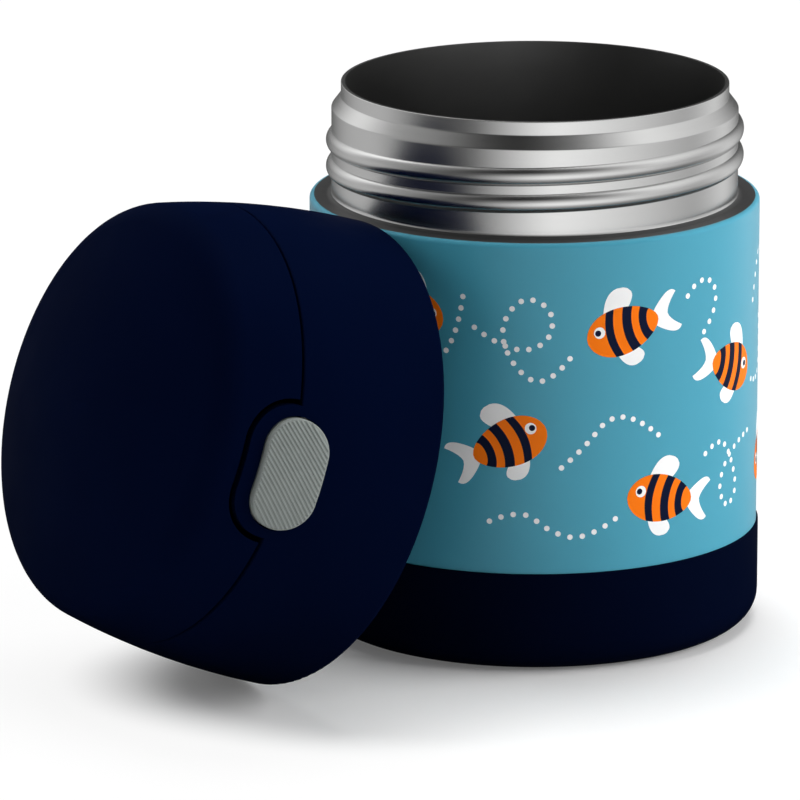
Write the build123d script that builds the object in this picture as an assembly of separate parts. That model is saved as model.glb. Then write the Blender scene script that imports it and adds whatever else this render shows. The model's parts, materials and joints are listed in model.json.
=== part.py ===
from build123d import *
import os
from math import asin, atan2, cos, degrees, hypot, pi, sin, sqrt

os.makedirs("parts", exist_ok=True)

# Insulated food jar for a child's lunch, standing open. The vacuum jar stands on the
# floor with its axis on Z. The screw lid is off: its rim stands on the floor and leans
# on the jar. Under the lid's flip cover lies a folding spoon.
# Millimetres, +Z up, origin on the floor at the centre of the jar's foot.

# ---- jar: steel shells -------------------------------------------------------------
body_r = 45.0            # outside of the painted steel wall
sheet = 0.4              # thickness of the steel sheet
lip_z = 109.9            # top of the jar
neck_height = 22.9       # lip above the bare steel shoulder
shoulder_width = 4.4     # from the painted wall in to the threaded neck
shoulder_round = 0.9
neck_foot_round = 0.6
lip_band = 2.7           # height of the straight lip
chamfer_band = 2.5       # the neck draws in to the lip over this height
neck_to_mouth = 2.7      # from the neck's outside in to the straight inside of the liner
liner_floor_z = 18.0     # food side of the liner's floor
liner_corner = 9.0
liner_dish = 1.2         # the floor is domed up by this much at its centre

# ---- jar: thread -------------------------------------------------------------------
thread_pitch = 5.35
thread_height = 1.2      # ridge stands this far out of the neck
thread_width = 3.5       # ridge width where it meets the neck
thread_turns = 1.875
thread_rise = 5.05       # ridge centre above the shoulder where the thread begins
thread_start_deg = 135.0  # back left of the jar

# ---- jar: foot ---------------------------------------------------------------------
boot_top_z = 20.4
boot_proud = 0.4         # boot stands out of the painted wall
boot_seat_depth = 1.4    # the steel wall is drawn in this far under the boot
boot_floor = 2.6
boot_round = 6.0
boot_foot_width = 15.0   # flat foot outside the ring that is pressed into the underside
boot_groove_width = 6.0
boot_groove = 0.8
boot_gap = 0.05
plate_flange = 4.0
plate_rim_width = 12.0   # the bottom plate is raised this far in from the wall
plate_step = 2.2
seal_r = 6.0
seal_thickness = 1.1
getter_r = 6.0
getter_thickness = 1.8
getter_x = 18.0
tray_wall = 0.4
foil = 0.15
foil_gap = 0.05
foil_margin = 4.0        # foil stops this far from the floor corner and the shoulder

# ---- lid: outside, measured from its rim ---------------------------------------------
lid_overhang = 1.5       # the rim stands this far out of the painted wall
lid_side_r = 174.0       # the side bows inwards on this radius
cover_height = 22.0      # top of the flip cover above the parting line
lid_crown_r = 120.0
lid_dome_round = 6.8
lid_edge_round = 1.0
lid_wall = 1.5
seam_rise = 8.8          # parting line above the jar's lip
seam_gap = 0.6
seam_round = 0.3

# ---- lid: inside ---------------------------------------------------------------------
closed_gap = 0.4         # rim above the shoulder when the lid is screwed down
thread_clearance = 0.35
ring_gap = 0.1           # threaded ring inside the skirt
ring_start_h = 0.8
ceiling = 1.3
gasket_thickness = 2.2
gasket_overhang = 1.7    # gasket reaches this far outside the lip
plug_gap = 0.95          # plug inside the liner
plug_seat_gap = 0.02     # plug's flange in the threaded ring
plug_wall = 1.5
plug_depth = 5.2
deck_thickness = 1.5
deck_drop = 0.8          # deck below the parting line
deck_gap = 0.15
deck_rest_width = 1.6
foam_gap = 0.1
lid_thread_turns = 1.1
lid_thread_r = 1.6       # section radius of the lid's thread ridge
lid_thread_start_h = 4.4

# ---- button, tab and latch -------------------------------------------------------------
button_drop = 0.7        # centre of the button below the parting line
button_length = 21.8
button_height = 12.6
button_gap = 0.3
button_proud = 1.0
button_depth = 1.0       # the cap reaches this far inside the side surface
button_travel = 1.8
button_round = 0.3
tab_half = 13.1
tab_rise = 8.6           # top of the tab above the parting line
tab_corner = 8.5
tab_gap = 1.1            # groove round the tab
pocket_half = 12.2
latch_width = 8.0
latch_arm = 3.0
latch_column = 2.0
latch_gap = 0.3
nose_height = 1.7
catch_width = 9.0
catch_thickness = 1.2
catch_ledge = 1.3
catch_ledge_height = 1.6
catch_rise = 5.7         # lower end of the catch above the parting line
catch_height = 6.0
spring_y = 8.0
spring_lift = 3.0        # springs above the button's centre
spring_r = 1.7
spring_wire = 0.4
spring_turns = 4
spring_length = 3.6      # drawn at the length it has with the button pressed
spring_seat_gap = 0.1
post_thickness = 1.5
post_width = 4.4

# ---- cover and hinge ---------------------------------------------------------------------
cover_wall = 1.8
cover_liner_wall = 1.0
liner_gap = 0.05
cover_liner_lift = 0.8
hinge_out = 1.9          # hinge axis outside the side surface at the seam
barrel_r = 2.2
pin_r = 1.0
pin_running_gap = 0.05
pin_press_gap = 0.01
knuckle_width = 15.4
lug_width = 5.0
knuckle_gap = 0.3
hinge_clear = 0.4

# ---- spoon, folded along the lid's Y -------------------------------------------------------
spoon_gap = 0.3
bowl_length = 44.0
bowl_width = 31.0
bowl_depth = 8.0
bowl_set_back = 12.0     # middle of the bowl from the middle of the lid
bowl_floor_share = 0.45  # floor of the bowl as a share of its rim
spoon_sheet = 1.0
neck_width = 9.0
pivot_y = 27.0
pivot_r = 2.4
pivot_pin_r = 1.0
fork_wall = 1.6
fork_gap = 0.15
handle_width = 11.0
handle_thickness = 2.4
handle_reach = 32.0      # free end of the handle from the middle of the lid
handle_corner = 4.4
handle_rise = 1.2        # underside of the handle above the bowl's rim
cradle_width = 12.0
cradle_length = 4.0
cradle_y = 17.0

# ---- lid leaning on the jar ----------------------------------------------------------------
lean_turn = 210.825      # direction in plan that the lid's top faces, degrees from +X
lean_rise = 18.56        # the lid's axis rises by this much above the floor
lean_bearing = 221.83    # direction in plan from the jar's axis to the middle of the rim
lean_roll = 0.55         # button turned down by this much about the lid's own axis
rest_gap = 0.3           # left between the leaning lid and what it rests on

# ---- worked out from the sizes above ---------------------------------------------------------
shoulder_z = lip_z - neck_height
neck_r = body_r - shoulder_width
mouth_r = neck_r - neck_to_mouth
lip_foot_z = lip_z - lip_band
chamfer_z = lip_foot_z - chamfer_band
thread_start_z = shoulder_z + thread_rise
thread_section_r = (thread_height ** 2 + (thread_width / 2) ** 2) / (2 * thread_height)
thread_centre_r = neck_r + thread_height - thread_section_r
liner_outer_r = mouth_r + sheet
lip_outer_r = liner_outer_r + sheet
seat_r = body_r - boot_seat_depth
boot_groove_out_r = body_r - boot_foot_width
boot_groove_in_r = boot_groove_out_r - boot_groove_width
plate_z = boot_floor + boot_gap
plate_step_r = body_r - plate_rim_width
lip_h = lip_z - shoulder_z - closed_gap
ceiling_h = lip_h + gasket_thickness
shelf_h = ceiling_h + ceiling
ring_bore_r = neck_r + thread_height + thread_clearance
plug_r = mouth_r - plug_gap
plug_low_h = ceiling_h - plug_depth
seam_h = lip_h + seam_rise
lid_height = seam_h + cover_height
deck_top_h = seam_h - deck_drop
deck_low_h = deck_top_h - deck_thickness
button_h = seam_h - button_drop
tab_top_h = seam_h + tab_rise
catch_low_h = seam_h + catch_rise
catch_top_h = catch_low_h + catch_height
spring_h = button_h + spring_lift
lid_rim_r = body_r + lid_overhang
side_centre_r = lid_rim_r - lid_side_r


def side_radius(h, inset=0.0):
    """Radius of the lid's side surface at height h, moved in by inset."""
    return side_centre_r + sqrt((lid_side_r - inset) ** 2 - h * h)


def revolved(face):
    return revolve(face, axis=Axis.Z)


def ring(inner, outer, low, high):
    """Plain ring or, with inner = 0, a disc."""
    body = Cylinder(outer, high - low, align=(Align.CENTER, Align.CENTER, Align.MIN))
    if inner > 0:
        body -= Cylinder(inner, high - low, align=(Align.CENTER, Align.CENTER, Align.MIN))
    return Pos(0, 0, low) * body


def block(x0, x1, y0, y1, z0, z1):
    middle = Pos((x0 + x1) / 2, (y0 + y1) / 2, (z0 + z1) / 2)
    return middle * Box(x1 - x0, y1 - y0, z1 - z0)


def thread_ridge(section_r, centre_r, turns, start_z, start_deg):
    """Round ridge on a right-hand helix, with ball ends."""
    path = Helix(thread_pitch, thread_pitch * turns, centre_r)
    start = Plane(origin=path @ 0, z_dir=path % 0)
    ridge = sweep(start * Circle(section_r), path=path, is_frenet=True)
    ridge += Pos(path @ 0) * Sphere(section_r)
    ridge += Pos(path @ 1) * Sphere(section_r)
    return Pos(0, 0, start_z) * Rot(0, 0, start_deg) * ridge


# ================================ jar ==========================================================
def jar_outer_shell():
    """Drawn steel outer wall with shoulder, neck and lip, one skin of even thickness."""
    inner_r = body_r - sheet
    neck_in = neck_r - sheet
    seat_in = seat_r - sheet
    step_z = boot_top_z + boot_gap
    outline = Polyline(
        (seat_in, plate_z),
        (seat_r, plate_z),
        (seat_r, step_z),
        (body_r, step_z),
        (body_r, shoulder_z),
        (neck_r, shoulder_z),
        (neck_r, chamfer_z),
        (lip_outer_r, lip_foot_z),
        (lip_outer_r, lip_z),
        (liner_outer_r, lip_z),
        (liner_outer_r, lip_foot_z - sheet),
        (neck_in, chamfer_z - sheet / 2),
        (neck_in, shoulder_z - sheet),
        (inner_r, shoulder_z - sheet),
        (inner_r, step_z + sheet),
        (seat_in, step_z + sheet),
        close=True,
    )
    skin = make_face(outline)
    shoulder = skin.vertices().sort_by_distance((body_r, shoulder_z, 0))[0]
    skin = fillet(shoulder, shoulder_round)
    inside = skin.vertices().sort_by_distance((inner_r, shoulder_z - sheet, 0))[0]
    skin = fillet(inside, shoulder_round - sheet)
    foot = skin.vertices().sort_by_distance((neck_r, shoulder_z, 0))[0]
    skin = fillet(foot, neck_foot_round)
    shell = revolved(Plane.XZ * skin)
    ridge = thread_ridge(thread_section_r, thread_centre_r, thread_turns,
                         thread_start_z, thread_start_deg)
    ridge -= ring(0, neck_in, shoulder_z, lip_z)
    return shell + ridge


def jar_inner_liner():
    """Food vessel: straight wall, rounded corner, floor domed up in the middle."""
    outer = ring(0, liner_outer_r, liner_floor_z - sheet, lip_z)
    inner = ring(0, mouth_r, liner_floor_z, lip_z)
    outer = fillet(outer.edges().sort_by(Axis.Z)[0], liner_corner + sheet)
    inner = fillet(inner.edges().sort_by(Axis.Z)[0], liner_corner)
    flat_r = mouth_r - liner_corner
    dome_r = (flat_r ** 2 + liner_dish ** 2) / (2 * liner_dish)
    dome_z = liner_floor_z + liner_dish - dome_r
    above_floor = ring(0, flat_r, liner_floor_z, liner_floor_z + liner_dish)
    below_floor = ring(0, flat_r, liner_floor_z - sheet, liner_floor_z + liner_dish)
    inner -= above_floor & (Pos(0, 0, dome_z) * Sphere(dome_r))
    outer -= below_floor & (Pos(0, 0, dome_z) * Sphere(dome_r - sheet))
    return outer - inner


def plate_height(r):
    """Top of the bottom plate at radius r."""
    raised = plate_step if r < plate_step_r else 0.0
    return plate_z + sheet + raised


def jar_bottom_plate():
    """Pressed steel plate welded into the foot of the outer wall."""
    edge_r = seat_r - sheet
    outline = Polyline(
        (0, plate_z + plate_step),
        (plate_step_r - plate_step, plate_z + plate_step),
        (plate_step_r, plate_z),
        (edge_r, plate_z),
        (edge_r, plate_z + plate_flange),
        (edge_r - sheet, plate_z + plate_flange),
        (edge_r - sheet, plate_z + sheet),
        (plate_step_r + sheet / 2, plate_z + sheet),
        (plate_step_r - plate_step + sheet / 2, plate_z + plate_step + sheet),
        (0, plate_z + plate_step + sheet),
        close=True,
    )
    return revolved(Plane.XZ * make_face(outline))


def jar_vacuum_seal():
    """Disc that closes the evacuation hole under the raised plate."""
    top = plate_z + plate_step
    disc = ring(0, seal_r, top - seal_thickness, top)
    return chamfer(disc.edges().sort_by(Axis.Z)[0], seal_thickness / 3)


def jar_getter_tray():
    floor_z = plate_height(getter_x)
    outer_r = getter_r + tray_wall
    cup = ring(0, outer_r, floor_z, floor_z + getter_thickness)
    cup -= ring(0, getter_r, floor_z + tray_wall, floor_z + getter_thickness)
    return Pos(getter_x, 0, 0) * cup


def jar_getter():
    floor_z = plate_height(getter_x) + tray_wall
    return Pos(getter_x, 0, 0) * ring(0, getter_r, floor_z, floor_z + getter_thickness)


def jar_heat_shield():
    """Bright foil wrapped round the liner inside the vacuum."""
    inner = liner_outer_r + foil_gap
    low = liner_floor_z + liner_corner + foil_margin
    return ring(inner, inner + foil, low, shoulder_z - foil_margin)


def jar_boot():
    """Navy moulded boot round the foot of the jar."""
    outer = ring(0, body_r + boot_proud, 0, boot_top_z)
    outer = fillet(outer.edges().sort_by(Axis.Z)[0], boot_round)
    outer = fillet(outer.edges().sort_by(Axis.Z)[-1], boot_proud / 2)
    outer -= ring(0, seat_r + boot_gap, boot_floor, boot_top_z)
    outer -= ring(boot_groove_in_r, boot_groove_out_r, 0, boot_groove)
    return outer


# ================================ lid, upright, front towards +X ===============================
def lid_profile(inset, low_h):
    """Edges of the side, the dome's round and the crown, moved in by inset."""
    side_r = lid_side_r - inset
    round_r = lid_dome_round - inset
    crown_r = lid_crown_r - inset
    crown_centre_h = lid_height - lid_crown_r
    # The round touches side and crown from inside, so its centre is a fixed distance
    # from each of their centres.
    from_side = lid_side_r - lid_dome_round
    from_crown = lid_crown_r - lid_dome_round
    gap_x = -side_centre_r
    gap_h = crown_centre_h
    gap = hypot(gap_x, gap_h)
    along = (from_side ** 2 - from_crown ** 2 + gap ** 2) / (2 * gap)
    across = sqrt(from_side ** 2 - along ** 2)
    centre_x = side_centre_r + (along * gap_x - across * gap_h) / gap
    centre_h = (along * gap_h + across * gap_x) / gap
    side_end = asin(centre_h / from_side)
    crown_start = atan2(centre_x, centre_h - crown_centre_h)
    side_start = asin(low_h / side_r)

    def on_side(angle):
        return (side_centre_r + side_r * cos(angle), side_r * sin(angle))

    def on_round(angle):
        return (centre_x + round_r * cos(angle), centre_h + round_r * sin(angle))

    def on_crown(angle):
        return (crown_r * sin(angle), crown_centre_h + crown_r * cos(angle))

    round_end = pi / 2 - crown_start
    return [
        ThreePointArc(on_side(side_start), on_side((side_start + side_end) / 2), on_side(side_end)),
        ThreePointArc(on_side(side_end), on_round((side_end + round_end) / 2), on_crown(crown_start)),
        ThreePointArc(on_crown(crown_start), on_crown(crown_start / 2), on_crown(0)),
    ]


def lid_solid(inset, low_h):
    """Everything inside the lid's outer surface above low_h, moved in by inset."""
    edges = lid_profile(inset, low_h)
    start = edges[0] @ 0
    top = edges[-1] @ 1
    edges.append(Line(top, (0, low_h)))
    edges.append(Line((0, low_h), start))
    return revolved(Plane.XZ * make_face(edges))


def side_arc(inset, low_h, high_h):
    """Arc up the side surface, moved in by inset."""
    middle_h = (low_h + high_h) / 2
    low = (side_radius(low_h, inset), low_h)
    middle = (side_radius(middle_h, inset), middle_h)
    high = (side_radius(high_h, inset), high_h)
    return ThreePointArc(low, middle, high)


def band(inset, low_h, high_h):
    """Slice of the lid below the dome, from the axis out to the side moved in by inset."""
    outside = side_arc(inset, low_h, high_h)
    edges = [
        outside,
        Line(outside @ 1, (0, high_h)),
        Line((0, high_h), (0, low_h)),
        Line((0, low_h), outside @ 0),
    ]
    return revolved(Plane.XZ * make_face(edges))


def skirt_wall(thickness, low_h, high_h, low_round, high_round):
    """Side wall of even thickness with its outer edges rounded."""
    outside = side_arc(0, low_h, high_h)
    inside = side_arc(thickness, low_h, high_h)
    edges = [
        outside,
        Line(outside @ 1, inside @ 1),
        inside,
        Line(inside @ 0, outside @ 0),
    ]
    section = make_face(edges)
    low_corner = section.vertices().sort_by_distance(outside @ 0)[0]
    section = fillet(low_corner, low_round)
    high_corner = section.vertices().sort_by_distance(outside @ 1)[0]
    section = fillet(high_corner, high_round)
    return revolved(Plane.XZ * section)


def tab_prism(grow):
    """Rounded block that cuts the button's tab out of the side wall."""
    half = tab_half + grow
    top = tab_top_h + grow
    corner = tab_corner + grow
    low = seam_h - 2 * corner
    sketch = Rectangle(2 * half, top - low, align=(Align.CENTER, Align.MAX))
    sketch = fillet(sketch.vertices().group_by(Axis.Y)[-1], corner)
    plane = Plane(origin=(0, 0, top), x_dir=(0, 1, 0), z_dir=(1, 0, 0))
    return extrude(plane * sketch, amount=lid_rim_r)


def button_prism(grow):
    """Stadium block through the wall at the button."""
    height = button_height + 2 * grow
    sketch = SlotOverall(button_length + 2 * grow, height)
    plane = Plane(origin=(0, 0, button_h), x_dir=(0, 1, 0), z_dir=(1, 0, 0))
    return extrude(plane * sketch, amount=lid_rim_r + button_proud)


def hinge_place():
    """Hinge axis in the lid's own frame."""
    return Vector(-(side_radius(seam_h) + hinge_out), 0, seam_h)


def barrel(y0, y1, radius):
    centre = hinge_place()
    rod = Cylinder(radius, y1 - y0, rotation=(90, 0, 0))
    return Pos(centre.X, (y0 + y1) / 2, centre.Z) * rod


def lid_shell():
    """Outer skirt with the tab round the button and two hinge lugs."""
    top_h = seam_h - seam_gap / 2
    skirt = skirt_wall(lid_wall, 0, top_h, lid_edge_round, seam_round)
    tab = lid_solid(0, button_h) - lid_solid(lid_wall, button_h)
    tab &= tab_prism(0)
    skirt += tab
    skirt -= button_prism(button_gap)
    centre = hinge_place()
    for side in (-1, 1):
        inner_y = side * (knuckle_width / 2 + knuckle_gap)
        outer_y = inner_y + side * lug_width
        y0 = min(inner_y, outer_y)
        y1 = max(inner_y, outer_y)
        lug = barrel(y0, y1, barrel_r)
        web = block(centre.X - barrel_r / 2, centre.X + barrel_r + lid_wall,
                    y0, y1, seam_h - 3 * barrel_r, top_h)
        lug += web - band(lid_wall, 0, seam_h) - ring(0, side_radius(seam_h), seam_h, lid_height)
        skirt += lug
    relief = knuckle_width / 2 + knuckle_gap
    skirt -= barrel(-relief, relief, barrel_r + hinge_clear)
    return skirt - barrel(-lid_rim_r, lid_rim_r, pin_r + pin_press_gap)


def lid_thread_ring():
    """Threaded ring inside the skirt, with ledges for the plug and the deck."""
    wall = band(lid_wall + ring_gap, ring_start_h, deck_low_h)
    wall -= ring(0, deck_rest_r(), shelf_h, deck_low_h)
    wall -= ring(0, ring_bore_r, ring_start_h, shelf_h)
    ridge = thread_ridge(lid_thread_r, ring_bore_r + thread_clearance, lid_thread_turns,
                         lid_thread_start_h, 0)
    ridge &= ring(0, ring_bore_r + thread_clearance, ring_start_h, ceiling_h)
    return wall + ridge - button_pocket()


def lid_plug():
    """Hollow plug that closes the jar's mouth; its flange sits under the ring's ledge."""
    plug = ring(0, plug_r, plug_low_h, shelf_h)
    plug = fillet(plug.edges().sort_by(Axis.Z)[0], plug_wall)
    plug += ring(0, ring_bore_r - plug_seat_gap, ceiling_h, shelf_h)
    plug -= ring(0, plug_r - plug_wall, plug_low_h + ceiling, shelf_h)
    return plug - button_pocket()


def deck_rest_r():
    """Inside of the ledge that carries the deck."""
    return side_radius(deck_low_h, lid_wall + ring_gap) - deck_rest_width


def button_pocket():
    """Room behind the button for its travel."""
    reach = side_radius(button_h, button_depth + button_travel + button_gap)
    low = button_h - button_height / 2 - 2 * button_gap
    pocket = block(0, lid_rim_r, -pocket_half, pocket_half, low, seam_h)
    return pocket - ring(0, reach, 0, lid_height)


def lid_gasket():
    """Silicone ring between the plug's flange and the jar's lip."""
    seal = ring(plug_r, lip_outer_r + gasket_overhang, lip_h, ceiling_h)
    groove = ring(lip_outer_r, lip_outer_r + gasket_overhang / 2, lip_h, lip_h + gasket_thickness / 3)
    return seal - groove


def lid_insulation():
    """Foam that fills the hollow of the plug and lies under the deck."""
    foam = ring(0, plug_r - plug_wall - foam_gap, plug_low_h + ceiling, shelf_h)
    return foam + ring(0, deck_rest_r() - foam_gap, shelf_h, deck_low_h)


def post_face_x():
    """Front face of the two posts that carry the button's springs."""
    reach = side_radius(spring_h, button_depth)
    return sqrt(reach ** 2 - spring_y ** 2) - button_travel - spring_length - spring_seat_gap


def lid_deck():
    """Floor under the cover, with a cradle for the spoon and the spring posts."""
    deck = band(lid_wall + deck_gap, deck_low_h, deck_top_h)
    deck -= button_pocket()
    back = post_face_x() - post_thickness
    for side in (-1, 1):
        y0 = side * spring_y - post_width / 2
        y1 = side * spring_y + post_width / 2
        top = spring_h + spring_r + spring_wire
        deck += block(back, post_face_x(), y0, y1, deck_low_h, top)
    top = spoon_rim_h() - spoon_sheet - spoon_gap
    deck += block(-cradle_width / 2, cradle_width / 2, cradle_y - cradle_length / 2,
                  cradle_y + cradle_length / 2, deck_low_h, top)
    return deck


def lid_hinge_pin():
    reach = knuckle_width / 2 + knuckle_gap + lug_width
    return barrel(-reach, reach, pin_r)


def button_spring(side):
    """Small coil between a post on the deck and the back of the button."""
    pitch = (spring_length - 2 * spring_wire) / spring_turns
    path = Helix(pitch, pitch * spring_turns, spring_r)
    start = Plane(origin=path @ 0, z_dir=path % 0)
    coil = sweep(start * Circle(spring_wire / 2), path=path, is_frenet=True)
    lift = post_face_x() + spring_wire / 2
    return Pos(lift, side * spring_y, spring_h) * Rot(0, 90, 0) * coil


def button_spring_left():
    return button_spring(1)


def button_spring_right():
    return button_spring(-1)


# ---- button ----
def button_cap():
    """Oval cap whose face follows the lid's side."""
    cap = lid_solid(-button_proud, 0) - lid_solid(button_depth, 0)
    cap &= button_prism(0)
    face = cap.faces().sort_by(Axis.X)[-1]
    return fillet(face.edges(), button_round)


def catch_face_x():
    """Inner face of the cover's catch, which hangs from the cover's wall above the tab."""
    return side_radius(catch_top_h, cover_wall + liner_gap) - catch_thickness


def button_latch():
    """Arm behind the cap with the nose that holds the cover's catch."""
    nose_tip = catch_face_x() - latch_gap / 2
    ledge_tip = catch_face_x() - catch_ledge
    column_face = ledge_tip - latch_gap
    column_back = column_face - latch_column
    arm_top = catch_low_h - latch_gap
    arm_low = arm_top - latch_arm
    nose_low = catch_low_h + catch_ledge_height + latch_gap
    half = latch_width / 2
    reach = side_radius(arm_low, button_depth)
    arm = block(column_back, reach, -half, half, arm_low, arm_top)
    arm &= lid_solid(button_depth, 0)
    column = block(column_back, column_face, -half, half, arm_low, nose_low + nose_height)
    nose = block(column_back, nose_tip, -half, half, nose_low, nose_low + nose_height)
    return arm + column + nose


# ---- cover ----
def cover_wall_solid(inset, thickness, low_h):
    wall = lid_solid(inset, low_h) - lid_solid(inset + thickness, low_h)
    return wall - tab_prism(tab_gap)


def cover_shell():
    """Dome of the flip cover, notched round the tab, with the hinge knuckle."""
    low_h = seam_h + seam_gap / 2
    dome = cover_wall_solid(0, cover_wall, low_h)
    centre = hinge_place()
    half = knuckle_width / 2
    relief = half + 2 * knuckle_gap + lug_width
    dome -= barrel(-relief, relief, barrel_r + hinge_clear)
    knuckle = barrel(-half, half, barrel_r)
    web = block(centre.X, centre.X + barrel_r + hinge_out + cover_wall, -half, half,
                low_h, seam_h + 2 * barrel_r)
    knuckle += web - band(cover_wall, 0, lid_height)
    dome += knuckle
    return dome - barrel(-half, half, pin_r + pin_running_gap)


def cover_liner():
    """Thin inner skin of the cover."""
    low_h = seam_h + seam_gap / 2 + cover_liner_lift
    inset = cover_wall + liner_gap
    skin = cover_wall_solid(inset, cover_liner_wall, low_h)
    half = catch_width / 2 + liner_gap
    return skin - block(0, lid_rim_r, -half, half, low_h, catch_top_h)


def cover_catch():
    """Hook inside the front of the cover that the button's nose holds down."""
    face_x = catch_face_x()
    half = catch_width / 2
    plate = block(face_x, face_x + catch_thickness, -half, half, catch_low_h, catch_top_h)
    ledge = block(face_x - catch_ledge, face_x, -half, half,
                  catch_low_h, catch_low_h + catch_ledge_height)
    foot_low_h = tab_top_h + tab_gap + seam_gap
    foot = block(face_x, lid_rim_r, -half, half, foot_low_h, catch_top_h)
    hook = plate + ledge + foot
    return hook & lid_solid(cover_wall + liner_gap, 0)


# ---- spoon ----
def spoon_rim_h():
    return deck_top_h + spoon_gap + bowl_depth


def spoon_bowl():
    """Bowl with its neck and the tongue of the folding joint."""
    rim = spoon_rim_h()
    half_width = bowl_width / 2
    half_length = bowl_length / 2
    floor_width = half_width * bowl_floor_share
    floor_length = half_length * bowl_floor_share
    outer = Pos(0, -bowl_set_back, rim) * Ellipse(half_width, half_length)
    foot = Pos(0, -bowl_set_back, rim - bowl_depth) * Ellipse(floor_width, floor_length)
    body = loft([foot, outer])
    inner = Pos(0, -bowl_set_back, rim) * Ellipse(half_width - spoon_sheet, half_length - spoon_sheet)
    well = Ellipse(floor_width - spoon_sheet / 2, floor_length - spoon_sheet / 2)
    well = Pos(0, -bowl_set_back, rim - bowl_depth + spoon_sheet) * well
    body -= loft([well, inner])
    half = neck_width / 2
    bowl_end = half_length - bowl_set_back
    body += block(-half, half, bowl_end - 2 * spoon_sheet, fork_slot_y(), rim - spoon_sheet, rim)
    half = handle_width / 2 - fork_wall - fork_gap
    body += block(-half, half, fork_slot_y(), pivot_y, rim - spoon_sheet, rim)
    tongue = Cylinder(pivot_r, 2 * half, rotation=(0, 90, 0))
    body += Pos(0, pivot_y, pivot_h()) * tongue
    hole = Cylinder(pivot_pin_r + pin_running_gap, 2 * handle_width, rotation=(0, 90, 0))
    return body - Pos(0, pivot_y, pivot_h()) * hole


def pivot_h():
    return spoon_rim_h() - spoon_sheet + pivot_r


def fork_slot_y():
    """Closed end of the fork's slot."""
    return pivot_y - pivot_r - 2 * fork_gap


def spoon_handle():
    """Handle folded back over the bowl, forked round the joint."""
    low = spoon_rim_h() + handle_rise
    half = handle_width / 2
    body = block(-half, half, -handle_reach, pivot_y, low, low + handle_thickness)
    end = body.edges().filter_by(Axis.Z).group_by(Axis.Y)[0]
    body = fillet(end, handle_corner)
    boss = Cylinder(pivot_r, handle_width, rotation=(0, 90, 0))
    body += Pos(0, pivot_y, pivot_h()) * boss
    slot_half = half - fork_wall
    body -= block(-slot_half, slot_half, fork_slot_y(), pivot_y + 2 * pivot_r,
                  low - 2 * pivot_r, low + 2 * handle_thickness)
    hole = Cylinder(pivot_pin_r + pin_press_gap, 2 * handle_width, rotation=(0, 90, 0))
    return body - Pos(0, pivot_y, pivot_h()) * hole


def spoon_pin():
    pin = Cylinder(pivot_pin_r, handle_width, rotation=(0, 90, 0))
    return Pos(0, pivot_y, pivot_h()) * pin


# ================================ placing and writing ============================================
def lean_plane():
    """The lid's own frame where it leans on the jar: Z along its axis, X to its button."""
    turn = lean_turn * pi / 180
    rise = lean_rise * pi / 180
    bearing = lean_bearing * pi / 180
    axis = Vector(cos(rise) * cos(turn), cos(rise) * sin(turn), sin(rise))
    front = Vector(-sin(turn), cos(turn), 0)
    up = axis.cross(front)
    # The rounded rim is a circle of this radius, lid_edge_round thick. It stands on the
    # floor and touches the wall where the shoulder starts to round off or, on a tall jar,
    # with its own highest point.
    edge_r = lid_rim_r - lid_edge_round
    lift = rest_gap + lid_edge_round + edge_r * up.Z - lid_edge_round * axis.Z
    wall_top = shoulder_z - shoulder_round
    touch = min(1.0, (wall_top - lift - lid_edge_round * axis.Z) / (edge_r * up.Z))
    reach = axis * lid_edge_round + up * edge_r * touch - front * edge_r * sqrt(1 - touch ** 2)
    away = Vector(cos(bearing), sin(bearing), 0)
    clear = body_r + rest_gap + lid_edge_round
    along = away.X * reach.X + away.Y * reach.Y
    distance = sqrt(along ** 2 + clear ** 2 - reach.X ** 2 - reach.Y ** 2) - along
    origin = away * distance + Vector(0, 0, lift)
    roll = lean_roll * pi / 180
    to_button = front * cos(roll) - up * sin(roll)
    return Plane(origin=origin, x_dir=to_button, z_dir=axis)


jar_pieces = [
    jar_outer_shell,
    jar_inner_liner,
    jar_bottom_plate,
    jar_vacuum_seal,
    jar_getter_tray,
    jar_getter,
    jar_heat_shield,
    jar_boot,
]
lid_pieces = [
    lid_shell,
    lid_thread_ring,
    lid_plug,
    lid_gasket,
    lid_insulation,
    lid_deck,
    lid_hinge_pin,
    button_spring_left,
    button_spring_right,
    button_cap,
    button_latch,
    cover_shell,
    cover_liner,
    cover_catch,
    spoon_bowl,
    spoon_handle,
    spoon_pin,
]

for make in jar_pieces:
    export_step(make(), f"parts/{make.__name__}.step")

leaning = lean_plane().location
for make in lid_pieces:
    export_step(leaning * make(), f"parts/{make.__name__}.step")
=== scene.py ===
import json
from math import cos, pi, radians, sin, sqrt, tan

import bmesh
import bpy
from mathutils import Matrix, Vector


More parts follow.
